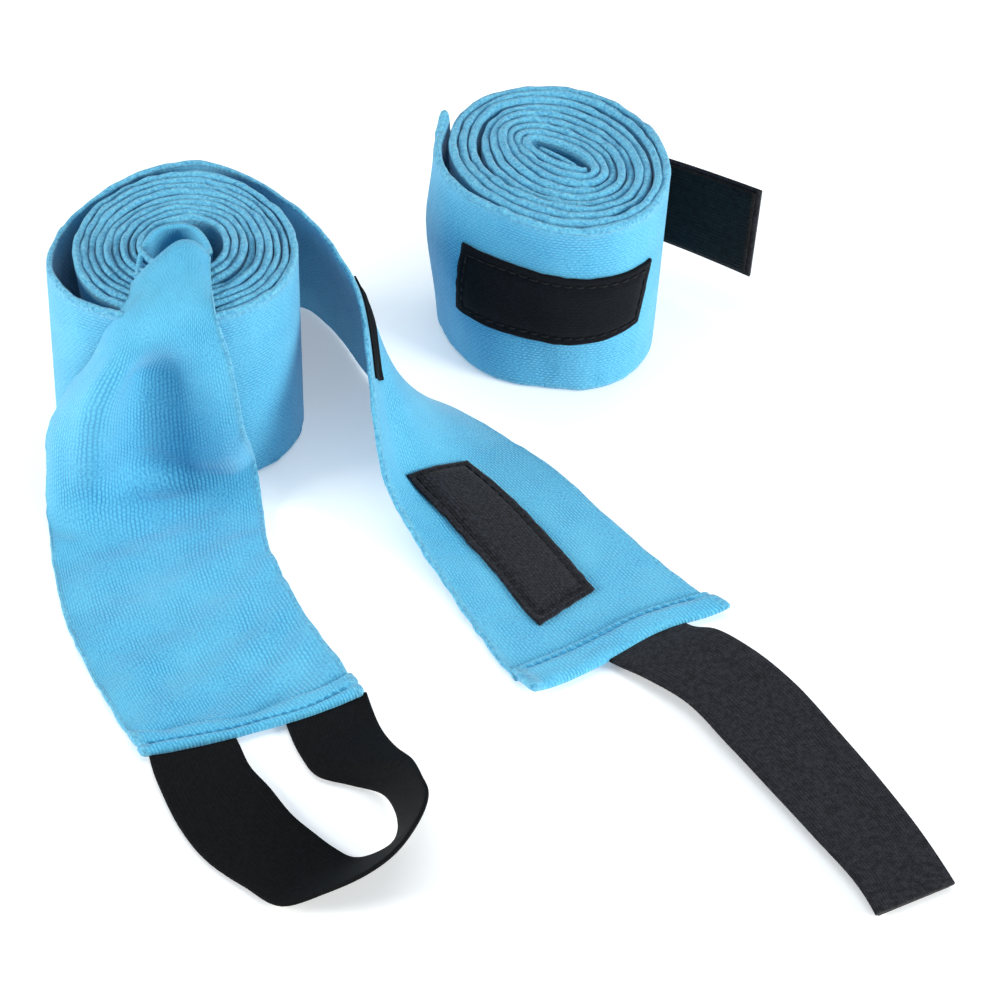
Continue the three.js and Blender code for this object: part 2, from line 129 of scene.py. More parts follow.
# One length of elastic, as rows of [outer edge, inner edge]. The first and last rows lie under the hem.
THUMB_LOOP = np.array([
    [[-70.9, -79.8, 1.0], [-54.6, -74.5, 1.0]],
    [[-69.9, -84.2, 1.1], [-53.3, -77.9, 1.1]],
    [[-67.5, -91.5, 1.2], [-51, -84, 1.2]],
    [[-63, -102, 1], [-46.5, -90.5, 1]],
    [[-57, -111, 1], [-41.5, -98.5, 1]],
    [[-50, -117.5, 1.3], [-37, -103.5, 1]],
    [[-42, -124, 2.5], [-33, -107.5, 1]],
    [[-34, -124, 6], [-29.5, -110, 1]],
    [[-25.5, -123.5, 11], [-25.5, -109.5, 1]],
    [[-20, -120.5, 14], [-21.5, -106.5, 1]],
    [[-16, -114.5, 16], [-20, -102.5, 1]],
    [[-14.3, -107, 16], [-20.7, -96.5, 1]],
    [[-15.7, -100, 14], [-23.5, -91.5, 1]],
    [[-17.6, -92.5, 11], [-30, -89, 1]],
    [[-21, -85, 7], [-36, -87, 1]],
    [[-24.4, -75.5, 3], [-40, -81, 1.2]],
    [[-26.7, -66.8, 1.1], [-42.7, -73.6, 1.1]],
    [[-27.8, -62.5, 1.0], [-43.9, -69.2, 1.0]],
], float)

# The hook strap of the open wrap, as rows of [lower edge, upper edge]. The first row lies under the hem.
HOOK_STRAP = np.array([
    [[19.4, -47.3, 1.3], [35.8, -38.6, 1.3]],
    [[21.6, -51.6, 1.5], [39.2, -42.3, 1.5]],
    [[30, -59, 2.6], [45, -45.5, 3.0]],
    [[38, -66.5, 3.1], [52, -52, 3.5]],
    [[46.3, -79, 2.8], [60.4, -62, 3]],
    [[54.5, -92, 2.4], [68.6, -75.7, 2.4]],
    [[62.4, -105, 2.3], [76.3, -90, 2.3]],
    [[70.2, -118.5, 2.3], [84, -106.3, 2.3]],
    [[73.2, -126, 1.9], [88.7, -117.8, 1.9]],
], float)

# ---- Rolled wrap: an oval roll around a flat core ----
ROLLED_CENTRE = np.array([13.1, 63.2])
ROLLED_BASE_SHIFT = -0.8
ROLLED_BASE_SCALE = 0.91
ROLLED_HEIGHT = 47.0
ROLLED_TURNS = 9.4
ROLLED_CORE = (8.4, 2.3, math.radians(-41))
ROLLED_RIM = (29.0, 23.4, math.radians(-65))
ROLLED_ENDS_AT = 168.0
ROLLED_TOP = ROLLED_HEIGHT - 0.8
CLOTH_BOTTOM = 1.1
LOOSE_END = 4.4
ROLLED_PATCH_CORNERS = ((0.116, 0.3, 0.155, 0.645), (0.69, 0.263, 0.697, 0.645))
STRAP_HEIGHTS = (33.9, 13.5)
STRAP_LEAVES_AT = 72.0
STRAP_END_LENGTH = 46.0
STRAP_LEAN = 3.2
STRAP_END_DIRECTION = math.radians(-28.5)
STRAP_FOLLOWS_FROM = 160.0
STRAP_END_ROWS = (5, 12, 20, 28, 36, STRAP_END_LENGTH)
ROLLED_HEM_AT = (170.0, 157.0)
ROLLED_SEAM_AT = 166.0
ROLLED_LABEL_AT = (150.0, 92.0)
ROLLED_LABEL_HEIGHTS = (45.6, 35.4)

# Places on the open wrap's outer tail, as shares of its rows (u) and of its width (v).
PATCH_CORNERS = ((0.775, 0.19, 0.79, 0.6), (0.952, 0.27, 0.94, 0.62))
LABEL_CORNERS = ((0.53, 0.04, 0.53, 0.2), (0.657, 0.04, 0.657, 0.2))
CLOSURE_HEM_START = 0.977
THUMB_HEM_START = 0.963

# Widths, sizes and thicknesses of the cloth and tapes. The rolls' cloth is thick, as loose turns look.
BAND_WIDTH = 50.0
STRAP_WIDTH = 20.0
LOOP_WIDTH = 17.0
LABEL_WIDTH = 11.0
OPEN_PATCH_SIZE = (56.0, 19.0)
ROLLED_PATCH_SIZE = (52.0, 18.0)
OPEN_LABEL_SIZE = (25.0, 8.0)
OPEN_PATCH_BOW = (1.5, 1.5)
ROLLED_PATCH_BOW = (0.2, 2.5)
ROLL_CLOTH = 1.7
ROLLED_CLOTH = 1.98
TAIL_CLOTH = 1.2
HEM_THICKNESS = 2.5
HOOK_THICKNESS = 0.8
LABEL_THICKNESS = 0.45
HOOK_MARGIN = 0.04
GAP = 0.3
EDGE_STEPS = 2
SEAM_INSET = 1.6
SEAM_SINKS = 0.2

# The camera and the room's light.
CAMERA_LENS = 150
CAMERA_TILT = math.radians(40.5)
CAMERA_DISTANCE = 906
LAMP_TONE = (1, 0.96, 0.88)
ROOM_TONE = (0.35, 0.66, 1, 1)
ROOM_STRENGTH = 0.3
FLOOR_GLOW = 0.3
FLOOR_REACH = 9


# ---- Colour and small arithmetic ----


def linear(colour):
    """An sRGB hex colour such as "#6cc4ec" as linear RGB."""
    values = np.array([int(colour[i : i + 2], 16) for i in (1, 3, 5)]) / 255
    return tuple(np.where(values <= 0.04045, values / 12.92, ((values + 0.055) / 1.055) ** 2.4))


def unit(vectors):
    """Vectors divided by their length."""
    return vectors / np.maximum(np.linalg.norm(vectors, axis=-1, keepdims=True), 1e-9)


def normals(grid):
    """Unit normals of a grid of points: its slope along rows crossed with its slope along columns."""
    return unit(np.cross(np.gradient(grid, axis=0), np.gradient(grid, axis=1)))


def ease(share):
    """A smooth step from 0 to 1: three times the square less twice the cube."""
    share = np.clip(share, 0, 1)
    return share * share * (3 - 2 * share)


def window(place, start, end, soft):
    """1 between start and end, easing to 0 over a distance on both sides."""
    return ease((place - start) / soft + 1) * ease((end - place) / soft + 1)


def wander(place, wavelength, seed):
    """Smooth noise from -1 to 1: seeded random values one wavelength apart, joined by smooth steps."""
    values = np.random.default_rng(seed).uniform(-1, 1, 1024)
    cell = np.floor(place / wavelength).astype(int)
    share = ease(place / wavelength - cell)
    return values[cell % 1024] * (1 - share) + values[(cell + 1) % 1024] * share


def crumple(a, b, size, seed):
    """Smooth noise in two directions: a seeded lattice of random values, joined by smooth steps."""
    lattice = np.random.default_rng(seed).uniform(-1, 1, (128, 128))
    ca, cb = np.floor(a / size[0]).astype(int), np.floor(b / size[1]).astype(int)
    sa, sb = ease(a / size[0] - ca), ease(b / size[1] - cb)
    pick = lambda i, j: lattice[(ca + i) % 128, (cb + j) % 128]
    low = pick(0, 0) * (1 - sa) + pick(1, 0) * sa
    high = pick(0, 1) * (1 - sa) + pick(1, 1) * sa
    return low * (1 - sb) + high * sb


def spline(values, params, at):
    """Cubic pieces through values at params. The slope at each is that of the parabola through its
    neighbours."""
    step = np.diff(params).reshape((-1,) + (1,) * (values.ndim - 1))
    rise = np.diff(values, axis=0) / step
    slope = np.empty_like(values)
    slope[1:-1] = (step[:-1] * rise[1:] + step[1:] * rise[:-1]) / (step[:-1] + step[1:])
    slope[0], slope[-1] = 2 * rise[0] - slope[1], 2 * rise[-1] - slope[-2]
    cell = np.clip(np.searchsorted(params, at, side="right") - 1, 0, len(params) - 2)
    size = step[cell]
    t = ((at - params[cell]) / np.diff(params)[cell]).reshape((-1,) + (1,) * (values.ndim - 1))
    return (
        values[cell] * (2 * t**3 - 3 * t**2 + 1)
        + slope[cell] * size * (t**3 - 2 * t**2 + t)
        + values[cell + 1] * (3 * t**2 - 2 * t**3)
        + slope[cell + 1] * size * (t**3 - t**2)
    )


def chord(rows):
    """Each row's distance along the net, measured between the middles of the rows."""
    steps = np.linalg.norm(np.diff(rows.mean(axis=1), axis=0), axis=1)
    return np.concatenate([[0], np.cumsum(steps)])


class Net:
    """A smooth surface through rows of points. u is the share of the rows and v the share of the width."""

    def __init__(self, rows, before=()):
        self.rows = np.concatenate([before, rows]) if len(before) else rows
        self.places = chord(self.rows)
        self.first = len(before)

    def at(self, u, v):
        """The points at shares u and v, which are arrays of one shape: a spline along, then one across."""
        u, v = np.broadcast_arrays(np.asarray(u, float), np.asarray(v, float))
        index = self.first + u.ravel() * (len(self.rows) - 1 - self.first)
        along = np.interp(index, np.arange(len(self.rows)), self.places)
        columns = spline(self.rows, self.places, along)
        count = self.rows.shape[1]
        if count == 2:
            weights = np.stack([1 - v.ravel(), v.ravel()], -1)
        else:
            weights = spline(np.eye(count), np.linspace(0, 1, count), v.ravel())
        return np.einsum("pc,pcx->px", weights, columns).reshape(u.shape + (3,))


def normal_of(surface, u, v):
    """A surface's unit normals at u and v: its slope in u crossed with its slope in v, by small steps."""
    step = 1e-3
    along = surface(np.minimum(u + step, 1), v) - surface(np.minimum(u, 1 - step) - step, v)
    across = surface(u, np.minimum(v + step, 1)) - surface(u, np.maximum(v - step, 0))
    return unit(np.cross(along, across))


def evenly(points_at, low, high, spacing):
    """Parameters from low to high whose points lie one spacing apart."""
    trial = np.linspace(low, high, 2000)
    path = points_at(trial)
    length = np.concatenate([[0], np.cumsum(np.linalg.norm(np.diff(path, axis=0), axis=1))])
    return np.interp(np.linspace(0, length[-1], int(length[-1] / spacing) + 2), length, trial)


def along_grid(grid):
    """Each grid point's distance along the cloth: the average over the columns of the rows' steps."""
    steps = np.linalg.norm(np.diff(grid, axis=0), axis=2).mean(axis=1)
    return np.concatenate([[0], np.cumsum(steps)])


# ---- Meshes ----

SHIFT = np.append(np.array(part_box("open_roll")[0])[:2] / MM - CAD_ROLL_CORNER, 0)


def placed(points):
    """Points of the ground plan in millimetres as points on the CAD part in metres."""
    return (np.asarray(points, float) + SHIFT) * MM


def add_mesh(name, points, faces, material, uv=None, rim=None):
    """A smooth-shaded object from points, faces, and each point's place on the cloth and closeness to a
    rim."""
    mesh = bpy.data.meshes.new(name)
    mesh.from_pydata(placed(points).tolist(), [], faces)
    mesh.shade_smooth()
    corners = np.empty(len(mesh.loops), np.int32)
    mesh.loops.foreach_get("vertex_index", corners)
    if uv is not None:
        layer = mesh.uv_layers.new(name="cloth")
        layer.data.foreach_set("uv", uv[corners].astype(np.float32).ravel())
    if rim is not None:
        mesh.attributes.new("rim", "FLOAT", "POINT").data.foreach_set("value", rim.astype(np.float32))
    mesh.materials.append(material)
    piece = bpy.data.objects.new(name, mesh)
    bpy.context.scene.collection.objects.link(piece)
    return piece


def ring_faces(rows, around):
    """The faces of rows of closed rings, with both ends closed by strips between opposite points."""
    i, k = np.meshgrid(np.arange(rows - 1), np.arange(around), indexing="ij")
    k2 = (k + 1) % around
    sides = np.stack([i * around + k, (i + 1) * around + k, (i + 1) * around + k2, i * around + k2], -1)
    faces = sides.reshape(-1, 4).tolist()
    half = around // 2
    k = np.arange(1, half - 1)
    cap = np.stack([k, k + 1, around - k - 1, around - k], -1).tolist()
    cap += [[0, 1, around - 1], [half - 1, half, half + 1]]
    last = (rows - 1) * around
    return faces + cap + [[last + n for n in reversed(face)] for face in cap]


def cloth(name, mid, thickness, material, along=None, width=BAND_WIDTH, edge=EDGE_STEPS):
    """A closed sheet around a grid of points: two faces half a thickness from it along its normals, and
    long edges rounded as half circles. Its UV map gives the place on the cloth in millimetres."""
    rows, columns = mid.shape[:2]
    half = np.broadcast_to(thickness, (rows, columns))[..., None] / 2
    normal = normals(mid)
    side = unit(np.gradient(mid, axis=1))
    steps = np.linalg.norm(np.diff(mid, axis=1), axis=2).mean(axis=0)
    across = np.concatenate([[0], np.cumsum(steps)]) * (width / steps.sum())
    along = along_grid(mid) if along is None else along
    turn = np.linspace(math.pi / 2, 0, edge + 1)[:-1]

    def arc(column, outward, angles):
        cos, sin = np.cos(angles)[None, :, None], np.sin(angles)[None, :, None]
        reach = half[:, column : column + 1] if column == 0 else half[:, -1:]
        base, up, out = (a[:, column][:, None] for a in (mid, normal, side))
        return base + up * reach * cos + out * outward * reach * sin

    left, right = arc(0, -1, turn), arc(-1, 1, turn[::-1])
    left_low, right_low = arc(0, -1, math.pi - turn[1:][::-1]), arc(-1, 1, math.pi - turn[1:])
    upper, lower = mid + normal * half, (mid - normal * half)[:, ::-1]
    points = np.concatenate([left, upper, right, right_low, lower, left_low], axis=1)
    reach = float(np.mean(thickness)) / 2
    v = np.concatenate([
        -reach * np.sin(turn), across, width + reach * np.sin(turn[::-1]),
        width + reach * np.sin(turn[1:]), across[::-1], -reach * np.sin(turn[1:][::-1]),
    ])
    around = points.shape[1]
    uv = np.stack([np.repeat(along, around), np.tile(v, rows)], -1)
    near = np.clip(np.minimum(v, width - v), 0, None)
    rim = np.tile(np.exp(-near / 0.9), rows)
    return add_mesh(name, points.reshape(-1, 3), ring_faces(rows, around), material, uv, rim)


def stitches(name, path, normal, material, spacing=2.4, length=1.7, radius=0.2, lift=0.1):
    """A row of sewn stitches along a path: each is a thin six-sided bead, bowed up over the cloth."""
    gone = np.concatenate([[0], np.cumsum(np.linalg.norm(np.diff(path, axis=0), axis=1))])
    starts = np.arange(0.3, gone[-1] - length, spacing)
    share = np.linspace(0, 1, 5)
    places = starts[:, None] + share[None, :] * length
    take = lambda values: np.stack([np.interp(places, gone, values[:, c]) for c in range(3)], -1)
    up = unit(take(normal))
    line = take(path) + up * (lift + 0.22 * np.sin(math.pi * share))[None, :, None]
    ahead = unit(np.gradient(line, axis=1))
    out = unit(np.cross(ahead, up))
    angle = np.linspace(0, 2 * math.pi, 6, endpoint=False)
    size = radius * np.array([0.45, 0.95, 1, 0.95, 0.45])[None, :, None, None]
    cos, sin = np.cos(angle)[:, None], np.sin(angle)[:, None]
    ring = out[:, :, None] * cos + up[:, :, None] * sin
    points = (line[:, :, None] + ring * size).reshape(-1, 3)
    rows, around = len(share), len(angle)
    one = ring_faces(rows, around)
    faces = [[n + rows * around * k for n in face[::-1]] for k in range(len(starts)) for face in one]
    return add_mesh(name, points, faces, material)


# ---- Surfaces of the open wrap ----


def open_spiral(turn, v):
    """The wound band at a number of turns from the core: a radius that grows evenly with the turn,
    stretched to an oval, with slow bulges, and drawn in towards a shifted centre at the base."""
    turn, v = np.broadcast_arrays(np.asarray(turn, float), np.asarray(v, float))
    angle = OPEN_LEAVES_AT + 2 * math.pi * (OPEN_TURNS - turn)
    radius = OPEN_CORE_RADIUS + (OPEN_LAST_RADIUS - OPEN_CORE_RADIUS) * turn / OPEN_TURNS
    bulges = np.sin(2 * angle + 0.6 + radius / 9) + np.sin(3 * angle - radius / 7)
    radius = radius + 0.02 * radius * bulges
    height = OPEN_HEIGHT + (CLOTH_BOTTOM - OPEN_HEIGHT) * v
    share = height / OPEN_HEIGHT
    scale = OPEN_BASE_SCALE + (1 - OPEN_BASE_SCALE) * share
    x = OPEN_BASE_CENTRE[0] + (OPEN_RIM_CENTRE[0] - OPEN_BASE_CENTRE[0]) * share
    y = OPEN_BASE_CENTRE[1] + (OPEN_RIM_CENTRE[1] - OPEN_BASE_CENTRE[1]) * share
    x = x + OPEN_STRETCH[0] * radius * scale * np.cos(angle)
    y = y + OPEN_STRETCH[1] * radius * scale * np.sin(angle)
    return np.stack([x, y, height], -1)


LAST_TURNS = OPEN_TURNS - np.array([0.2, 0.15, 0.1, 0.05, 0])
outer_net = Net(OUTER_TAIL, before=open_spiral(LAST_TURNS[:, None], np.array([[0, 1]])))
inner_net = Net(INNER_TAIL)
loop_net = Net(THUMB_LOOP)
strap_net = Net(HOOK_STRAP)


def outer_tail(u, v):
    """The loose turn and outer tail: the net, bulged where it twists, creased beside its upper edge, and
    drawn back in a shallow curve between the corners of its end."""
    u, v = np.broadcast_arrays(np.asarray(u, float), np.asarray(v, float))
    bulge = 2.4 * window(u, 0.46, 0.68, 0.12) * np.sin(math.pi * v)
    crease = -1.3 * window(u, 0.66, 0.84, 0.08) * np.exp(-(((v - 0.17) / 0.09) ** 2))
    waves = 0.35 * window(u, 0.8, 0.95, 0.04) * crumple(u * 330, v * 50, (17, 14), 5)
    drawn = -2.6 * ease((u - 0.93) / 0.07) * np.exp(-(((v - 0.68) / 0.27) ** 2))
    points = outer_net.at(u, v) + TAIL_AHEAD * drawn[..., None]
    return points + normal_of(outer_net.at, u, v) * (bulge + crease + waves)[..., None]


def inner_tail(u, v):
    """The inner tail: the net, with a deep pocket between two ridges where it hangs in front of the roll,
    and crosswise ripples and slanting swells where it lies on the ground."""
    u, v = np.broadcast_arrays(np.asarray(u, float), np.asarray(v, float))
    gone, over = u * 210, v * 50
    low = window(u, 0.72, 0.955, 0.06)
    ripple = 0.16 * low * crumple(gone, over, (3.2, 13), 8)
    swell = 0.34 * low * np.sin(0.66 * (0.85 * gone + 0.5 * over) + 2 * crumple(gone, over, (22, 20), 9))
    ridges = 2.4 * np.exp(-(((v - 0.33) / 0.09) ** 2)) + 1.4 * np.exp(-(((v - 0.9) / 0.09) ** 2))
    pocket = window(u, 0.46, 0.6, 0.06) * (ridges - 6.0 * np.exp(-(((v - 0.55) / 0.15) ** 2)))
    points = inner_net.at(u, v) + normal_of(inner_net.at, u, v) * (ripple + swell + pocket)[..., None]
    points[..., 2] = np.maximum(points[..., 2], 1.0)
    return points


def patch_place(corners, s, t):
    """Shares u and v inside a four-cornered patch: s runs from its far end to its near end and t across."""
    (u0, v0, u1, v1), (u2, v2, u3, v3) = corners
    far_u, far_v = u0 + (u1 - u0) * t, v0 + (v1 - v0) * t
    near_u, near_v = u2 + (u3 - u2) * t, v2 + (v3 - v2) * t
    return far_u + (near_u - far_u) * s, far_v + (near_v - far_v) * s


# ---- Surfaces of the rolled wrap ----


def rolled_spiral(turn, v, offset=0.0):
    """The wound band at a number of turns from the core: an oval that grows evenly from the flat core to
    the rim while its long axis turns, with two crescent gaps and a loose end, drawn in towards the base."""
    turn, v = np.broadcast_arrays(np.asarray(turn, float), np.asarray(v, float))
    angle = math.radians(ROLLED_ENDS_AT) + 2 * math.pi * (ROLLED_TURNS - turn)
    share = turn / ROLLED_TURNS
    long, short, axis = (c + (r - c) * share for c, r in zip(ROLLED_CORE, ROLLED_RIM))
    way = angle - axis
    bulge = 0.012 * np.sin(3 * angle + share * 5) * long
    height = ROLLED_TOP + (CLOTH_BOTTOM - ROLLED_TOP) * v
    rise = height / ROLLED_HEIGHT
    left = 0.9 * ease((turn - 5.9) / 0.5) * (1 - ease((turn - 8.6) / 0.6))
    left = left * np.clip(np.cos(angle - 2.9), 0, 1) ** 2
    right = 0.6 * ease((turn - 6.9) / 0.5) * (1 - ease(turn - 8.6))
    right = right * np.clip(np.cos(angle + 0.2), 0, 1) ** 2
    starts = 0.2 + 0.08 * (1 - rise)
    stands_off = ease((turn - ROLLED_TURNS + starts) / 0.13)
    stands_off = stands_off - 0.6 * ease((turn - ROLLED_TURNS + 0.04) / 0.07)
    slack = 0.55 + 0.6 * ease((1 - rise) / 0.45) - 0.3 * ease(((1 - rise) - 0.45) / 0.5)
    loose = LOOSE_END * stands_off * slack
    out = bulge + left + right + loose + offset
    x, y = np.cos(way) * (long + out), np.sin(way) * (short + out)
    scale = ROLLED_BASE_SCALE + (1 - ROLLED_BASE_SCALE) * rise
    px = ROLLED_CENTRE[0] + ROLLED_BASE_SHIFT * (1 - rise) + scale * (x * np.cos(axis) - y * np.sin(axis))
    py = ROLLED_CENTRE[1] + scale * (x * np.sin(axis) + y * np.cos(axis))
    return np.stack([px, py, height], -1)


def rolled_wall(angle, height, offset=0.0, turns_in=0):
    """The outermost turn, or one further in, at a compass angle in degrees and a height."""
    turn = ROLLED_TURNS - turns_in - (angle - ROLLED_ENDS_AT) / 360
    return rolled_spiral(turn, (ROLLED_TOP - height) / (ROLLED_TOP - CLOTH_BOTTOM), offset)


def rolled_patch_surface(u, v):
    """The outer wall's front in shares: u runs clockwise over half a turn and v runs down it."""
    return rolled_wall(340 - 180 * u, ROLLED_TOP + (CLOTH_BOTTOM - ROLLED_TOP) * v)


# ---- Cloth details ----


def ruffled(mid, along, seed, rise=0.5, fine=0.25):
    """The grid with its upper and lower edges uneven, as a woven selvedge is: slow rises and a fine ripple
    across the cloth that fade away from the edge, and a small ripple out of the cloth."""
    columns = np.linspace(0, 1, mid.shape[1])
    side, normal = unit(np.gradient(mid, axis=1)), normals(mid)
    for edge, sign, part in ((columns, -1, 0), (1 - columns, 1, 1)):
        near = np.exp(-edge * BAND_WIDTH / 2.5)[None, :]
        slow = rise * wander(along, 21, seed + part) + fine * wander(along, 2.6, seed + 10 + part)
        if part:
            slow = -np.abs(slow) * 0.3
        out = 0.12 * wander(along, 3.4, seed + 20 + part)
        over, away = sign * slow[:, None] * near, out[:, None] * near
        mid = mid + side * over[..., None] + normal * away[..., None]
    return mid


def selvedge_thickness(base, along, columns, seed):
    """The cloth's thickness: uneven along its edges, and pressed thinner there in some stretches."""
    share = np.linspace(0, 1, columns)
    near = np.exp(-np.minimum(share, 1 - share) * BAND_WIDTH / 1.6)[None, :]
    uneven = 0.1 * wander(along, 1.9, seed) - 0.24 * ease(wander(along, 13, seed + 1))
    return np.asarray(base)[:, None] * (1 + near * uneven[:, None])


def edge_weighted(columns):
    """Shares across the band that lie closer together near both edges."""
    share = np.linspace(-1, 1, columns)
    return (1 + np.sign(share) * (1 - (1 - np.abs(share)) ** 1.6)) / 2


# ---- Materials ----


def node(tree, kind, inputs=None, **settings):
    """Adds a node with its settings. Inputs are set, or linked to a socket or a node's first output."""
    made = tree.nodes.new(kind)
    for key, value in settings.items():
        setattr(made, key, value)
    for key, value in (inputs or {}).items():
        if isinstance(value, bpy.types.Node):
            value = value.outputs[0]
        if isinstance(value, bpy.types.NodeSocket):
            tree.links.new(value, made.inputs[key])
        else:
            made.inputs[key].default_value = value
    return made


def new_material(name, **surface):
    """An empty material with a Principled surface whose fixed values are given by socket name."""
    material = bpy.data.materials.new(name)
    material.use_nodes = True
    tree = material.node_tree
    tree.nodes.clear()
    shader = node(tree, "ShaderNodeBsdfPrincipled", {k.replace("_", " "): v for k, v in surface.items()})
    node(tree, "ShaderNodeOutputMaterial", {"Surface": shader})
    return material, tree, shader


def weave_height(tree, column, row, dash=0.25):
    """Short warp floats in columns: half waves across, and waves along that shift by half a row per column.
    Slow noise bends the columns a little and blurs them in patches, as soft yarns do."""
    place = node(tree, "ShaderNodeUVMap", uv_map="cloth")
    drift = node(tree, "ShaderNodeTexNoise", {"Vector": place, "Scale": 0.35, "Detail": 2.0})
    parts = node(tree, "ShaderNodeSeparateXYZ", {0: place})
    over = {0: parts.outputs[1], 1: 1 / column, 2: drift}
    columns = node(tree, "ShaderNodeMath", over, operation="MULTIPLY_ADD")
    half_turn = node(tree, "ShaderNodeMath", {0: columns, 1: math.pi}, operation="MULTIPLY")
    wave = node(tree, "ShaderNodeMath", {0: half_turn}, operation="SINE")
    ridge = node(tree, "ShaderNodeMath", {0: wave}, operation="ABSOLUTE")
    gone = node(tree, "ShaderNodeMath", {0: parts, 1: 1 / row}, operation="MULTIPLY")
    rows = node(tree, "ShaderNodeMath", {0: drift, 1: 1.5, 2: gone}, operation="MULTIPLY_ADD")
    number = node(tree, "ShaderNodeMath", {0: columns}, operation="FLOOR")
    shifted = node(tree, "ShaderNodeMath", {0: number, 1: 0.5, 2: rows}, operation="MULTIPLY_ADD")
    turn = node(tree, "ShaderNodeMath", {0: shifted, 1: 2 * math.pi}, operation="MULTIPLY")
    float_wave = node(tree, "ShaderNodeMath", {0: turn}, operation="SINE")
    dashes = node(tree, "ShaderNodeMath", {0: float_wave, 1: dash, 2: 1 - dash}, operation="MULTIPLY_ADD")
    woven = node(tree, "ShaderNodeMath", {0: ridge, 1: dashes}, operation="MULTIPLY")
    # Single fibres are drawn 0.5 mm apart so that they show.
    grain = node(tree, "ShaderNodeTexNoise", {"Vector": place, "Scale": 2.0, "Detail": 2.0})
    fibres = node(tree, "ShaderNodeMapRange", {"Value": grain, "From Min": 0.32, "From Max": 0.68})
    # The weave is blurred in patches about 6 mm across.
    patches = node(tree, "ShaderNodeTexNoise", {"Vector": place, "Scale": 0.16, "Detail": 1.0})
    limits = {"Value": patches, "From Min": 0.35, "From Max": 0.65, "To Max": 0.7}
    blurred = node(tree, "ShaderNodeMapRange", limits)
    mixed = node(tree, "ShaderNodeMix", {"Factor": blurred, 2: woven, 3: fibres}, data_type="FLOAT")
    return place, mixed


def band_weave(colours):
    """Elastic cotton bandage cloth: woven in fine columns of short warp floats, with painted shade in the
    grooves between its threads. It looks matt and soft, pale where light rakes it, deep blue in its folds,
    and fuzzy along its selvedges."""
    material, tree, shader = new_material(
        "elastic_cotton_bandage_woven", Roughness=0.75, Specular_IOR_Level=0.3, Sheen_Weight=0.3,
        Sheen_Roughness=0.5, Sheen_Tint=(1, 1, 1, 1),
    )
    thread_tone, groove, pale = ((*c, 1) for c in (colours.band, colours.band_groove_shade_and_fuzz, colours.band_pale))
    place, height = weave_height(tree, colours.weave_column / MM, colours.weave_row / MM)
    body = node(tree, "ShaderNodeTexCoord").outputs["Object"]
    rim = node(tree, "ShaderNodeAttribute", attribute_name="rim").outputs["Fac"]
    # Crosswise crinkles of relaxed elastic, about 3 mm apart.
    stretched = node(tree, "ShaderNodeMapping", {"Vector": place, "Scale": (0.33, 0.07, 1)})
    crinkle = node(tree, "ShaderNodeTexNoise", {"Vector": stretched, "Scale": 1.0, "Detail": 3.0})
    # Loose fibres along the selvedges, drawn 0.8 mm across so that they show.
    fibres = {"Vector": body, "Scale": 1250.0, "Detail": 3.0, "Roughness": 0.7}
    fuzz = node(tree, "ShaderNodeTexNoise", fibres)
    # Worn, paler patches about 14 mm across.
    mottle = node(tree, "ShaderNodeTexNoise", {"Vector": body, "Scale": 70.0, "Detail": 2.0})
    limits = {"Value": mottle, "From Min": 0.3, "From Max": 0.7, "To Min": 0.0, "To Max": 0.3}
    patchy = node(tree, "ShaderNodeMapRange", limits)
    limits = {"Value": fuzz, "From Min": 0.3, "From Max": 0.65, "To Min": 0.25}
    fuzzy = node(tree, "ShaderNodeMapRange", limits)
    # Painted shade: the grooves between the threads take the deeper groove colour, and the raised threads
    # take the band colour.
    tone = node(tree, "ShaderNodeMapRange", {"Value": height, "From Min": 0.0, "From Max": 0.8})
    woven = node(tree, "ShaderNodeMix", {"Factor": tone, 6: groove, 7: thread_tone}, data_type="RGBA")
    worn = {"Factor": patchy, 6: woven.outputs[2], 7: pale}
    woven = node(tree, "ShaderNodeMix", worn, data_type="RGBA")
    selvedge = node(tree, "ShaderNodeMix", {"Factor": fuzzy, 6: groove, 7: pale}, data_type="RGBA")
    edged = {"Factor": rim, 6: woven.outputs[2], 7: selvedge.outputs[2]}
    colour = node(tree, "ShaderNodeMix", edged, data_type="RGBA")
    tree.links.new(colour.outputs[2], shader.inputs["Base Color"])
    yarns = node(tree, "ShaderNodeBump", {"Height": height, "Strength": 0.7, "Distance": 0.0002})
    folds = {"Height": crinkle, "Strength": 0.6, "Distance": 0.0005, "Normal": yarns}
    crinkled = node(tree, "ShaderNodeBump", folds)
    ragged = node(tree, "ShaderNodeMath", {0: fuzz, 1: rim}, operation="MULTIPLY")
    ends = {"Height": ragged, "Strength": 0.9, "Distance": 0.0009, "Normal": crinkled}
    relief = node(tree, "ShaderNodeBump", ends)
    tree.links.new(relief.outputs[0], shader.inputs["Normal"])
    return material


